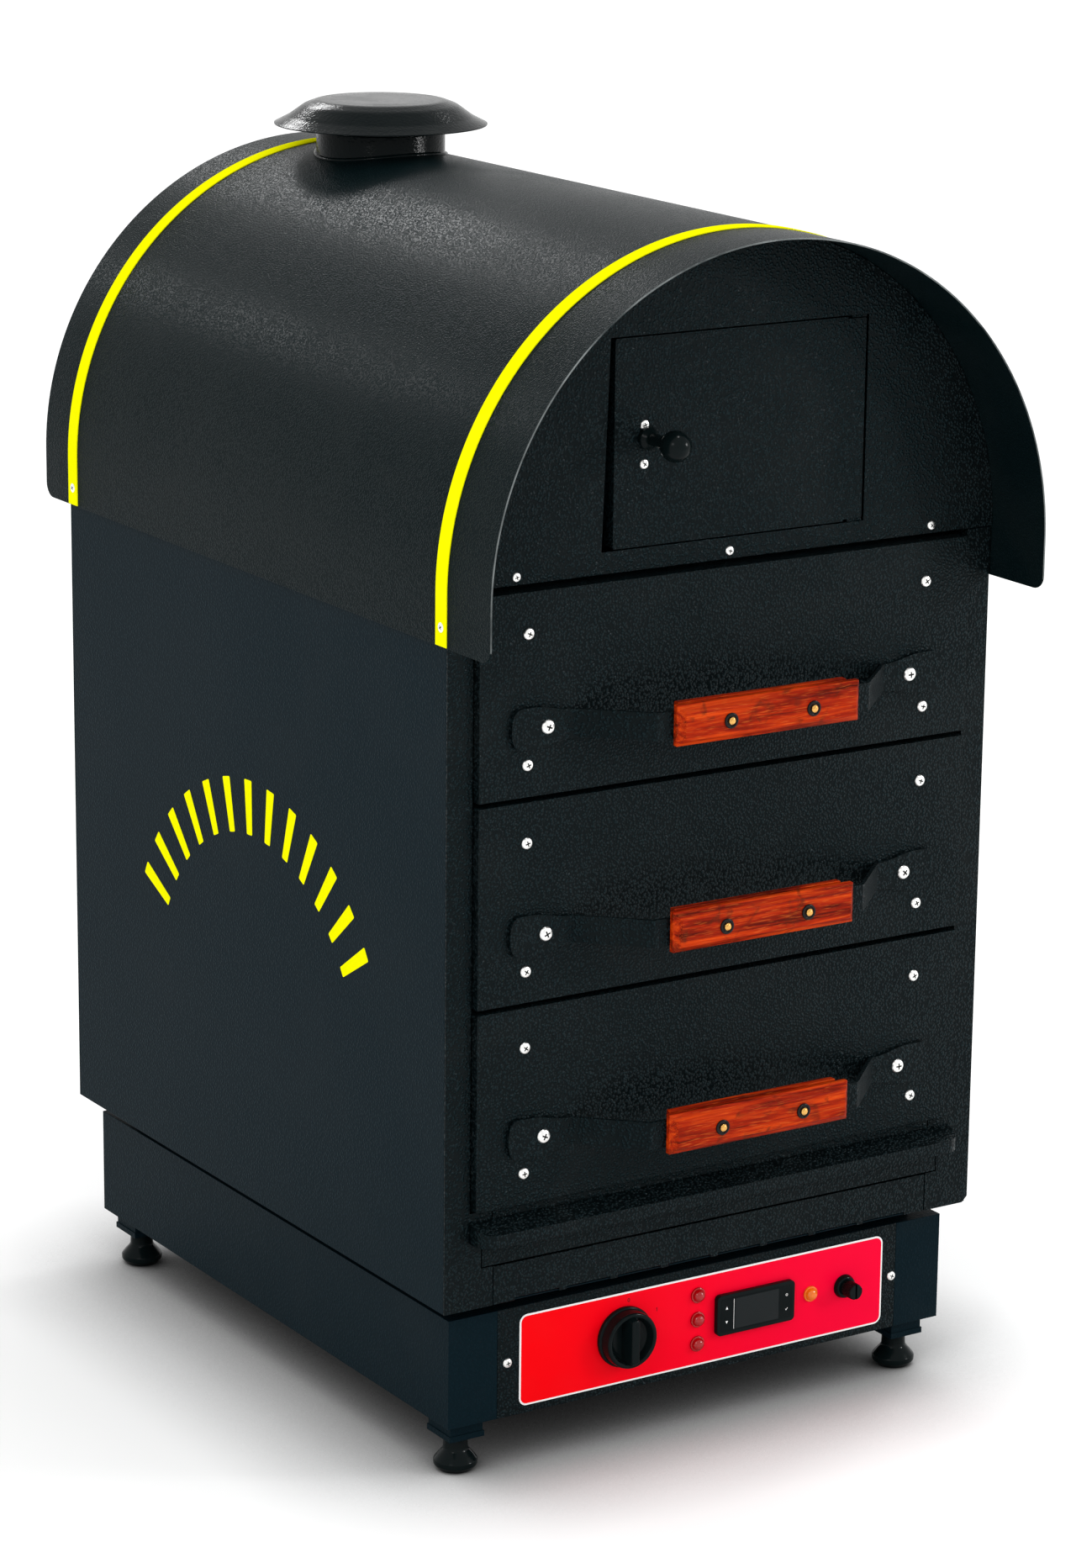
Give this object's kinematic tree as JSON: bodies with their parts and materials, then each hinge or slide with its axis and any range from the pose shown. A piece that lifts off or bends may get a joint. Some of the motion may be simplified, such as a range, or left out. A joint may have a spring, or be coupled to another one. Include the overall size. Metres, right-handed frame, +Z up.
{
  "type": "potato baking oven",
  "caption": "Upright sheet-steel potato baking oven with wooden-handled drawers, an arched warming compartment with a door, a capped flue, and an electric control base on levelling feet.",
  "frame": {"origin": "on the floor, under the middle of the oven's bounding box", "axes": "+Z up, the drawers and door face -Y, +X to the right as seen from the front"},
  "size_m": [0.52, 0.7292, 1.027],
  "materials": {
    "front_black": "black textured powder coat with a satin sheen",
    "side_black": "fine textured black powder coat",
    "hood_black": "fine textured black powder coat",
    "gloss_black": "gloss black enamel",
    "yellow_strip": "satin yellow coating",
    "red_fascia": "satin printed film with a white edge line",
    "red_lens": "clear red lens",
    "amber_lens": "clear amber lens",
    "black_plastic": "satin moulded plastic",
    "hardwood": "varnished reddish-brown hardwood",
    "stainless": "brushed stainless sheet",
    "galvanised": "zinc coated sheet",
    "element_sheath": "heat-darkened steel sheath",
    "mineral_wool": "compressed mineral wool slab"
  },
  "bodies": {
    "cabinet": {"base_shell": "side_black", "control_panel": "front_black", "panel_overlay": "red_fascia", "controller": "black_plastic", "lamp_red_upper": "red_lens", "lamp_red_middle": "red_lens", "lamp_red_lower": "red_lens", "lamp_amber": "amber_lens", "selector_switch": "black_plastic", "fuse_holder": "black_plastic", "cable_gland": "black_plastic", "body_floor": "side_black", "left_side_panel": "side_black", "right_side_panel": "side_black", "rear_panel": "side_black", "front_frame": "front_black", "lower_front_panel": "front_black", "insulation_wrap": "mineral_wool", "oven_liner": "stainless", "drawer_rack_left": "galvanised", "drawer_rack_right": "galvanised", "heater_lower": "element_sheath", "heater_upper": "element_sheath", "warming_deck": "stainless", "arch_panel": "front_black", "rear_arch_panel": "hood_black", "hood_sheet": "hood_black", "strap_front": "yellow_strip", "strap_rear": "yellow_strip", "flue_pipe": "hood_black", "flue_cap": "gloss_black", "door_hinge_upper": "front_black", "door_hinge_lower": "front_black", "door_catch": "black_plastic"},
    "drawer_lower": {"drawer_front_lower": "front_black", "drawer_box_lower": "stainless", "handle_bar_lower": "front_black", "grip_front_lower": "hardwood", "grip_back_lower": "hardwood"},
    "drawer_middle": {"drawer_front_middle": "front_black", "drawer_box_middle": "stainless", "handle_bar_middle": "front_black", "grip_front_middle": "hardwood", "grip_back_middle": "hardwood"},
    "drawer_upper": {"drawer_front_upper": "front_black", "drawer_box_upper": "stainless", "handle_bar_upper": "front_black", "grip_front_upper": "hardwood", "grip_back_upper": "hardwood"},
    "tray": {"crumb_tray": "front_black"},
    "warming_door": {"door": "front_black", "door_knob": "black_plastic"},
    "knob": {"selector_knob": "black_plastic"},
    "cap_of_fuse": {"fuse_cap": "black_plastic"},
    "front_left_foot": {"foot_front_left": "black_plastic"},
    "front_right_foot": {"foot_front_right": "black_plastic"},
    "rear_left_foot": {"foot_rear_left": "black_plastic"},
    "rear_right_foot": {"foot_rear_right": "black_plastic"}
  },
  "joints": [
    {"name": "drawer_lower_slide", "type": "slide", "parent": "cabinet", "child": "drawer_lower", "axis": [0, -1, 0], "range_m": [0, 0.42]},
    {"name": "drawer_middle_slide", "type": "slide", "parent": "cabinet", "child": "drawer_middle", "axis": [0, -1, 0], "range_m": [0, 0.42]},
    {"name": "drawer_upper_slide", "type": "slide", "parent": "cabinet", "child": "drawer_upper", "axis": [0, -1, 0], "range_m": [0, 0.42]},
    {"name": "crumb_tray_slide", "type": "slide", "parent": "cabinet", "child": "tray", "axis": [0, -1, 0], "range_m": [0, 0.42]},
    {"name": "door_hinge", "type": "hinge", "parent": "cabinet", "child": "warming_door", "pos_m": [0.12, -0.2928, 0.8265], "axis": [0, 0, 1], "range_deg": [0, 105]},
    {"name": "selector_turn", "type": "hinge", "parent": "cabinet", "child": "knob", "pos_m": [-0.0763, -0.2921, 0.0933], "axis": [0, 1, 0], "range_deg": [0, 60]},
    {"name": "fuse_cap_turn", "type": "hinge", "parent": "cabinet", "child": "cap_of_fuse", "pos_m": [0.1417, -0.2921, 0.0933], "axis": [0, -1, 0], "range_deg": [0, 90]},
    {"name": "foot_front_left_level", "type": "slide", "parent": "cabinet", "child": "front_left_foot", "axis": [0, 0, -1], "range_m": [0, 0.012]},
    {"name": "foot_front_right_level", "type": "slide", "parent": "cabinet", "child": "front_right_foot", "axis": [0, 0, -1], "range_m": [0, 0.012]},
    {"name": "foot_rear_left_level", "type": "slide", "parent": "cabinet", "child": "rear_left_foot", "axis": [0, 0, -1], "range_m": [0, 0.012]},
    {"name": "foot_rear_right_level", "type": "slide", "parent": "cabinet", "child": "rear_right_foot", "axis": [0, 0, -1], "range_m": [0, 0.012]}
  ]
}
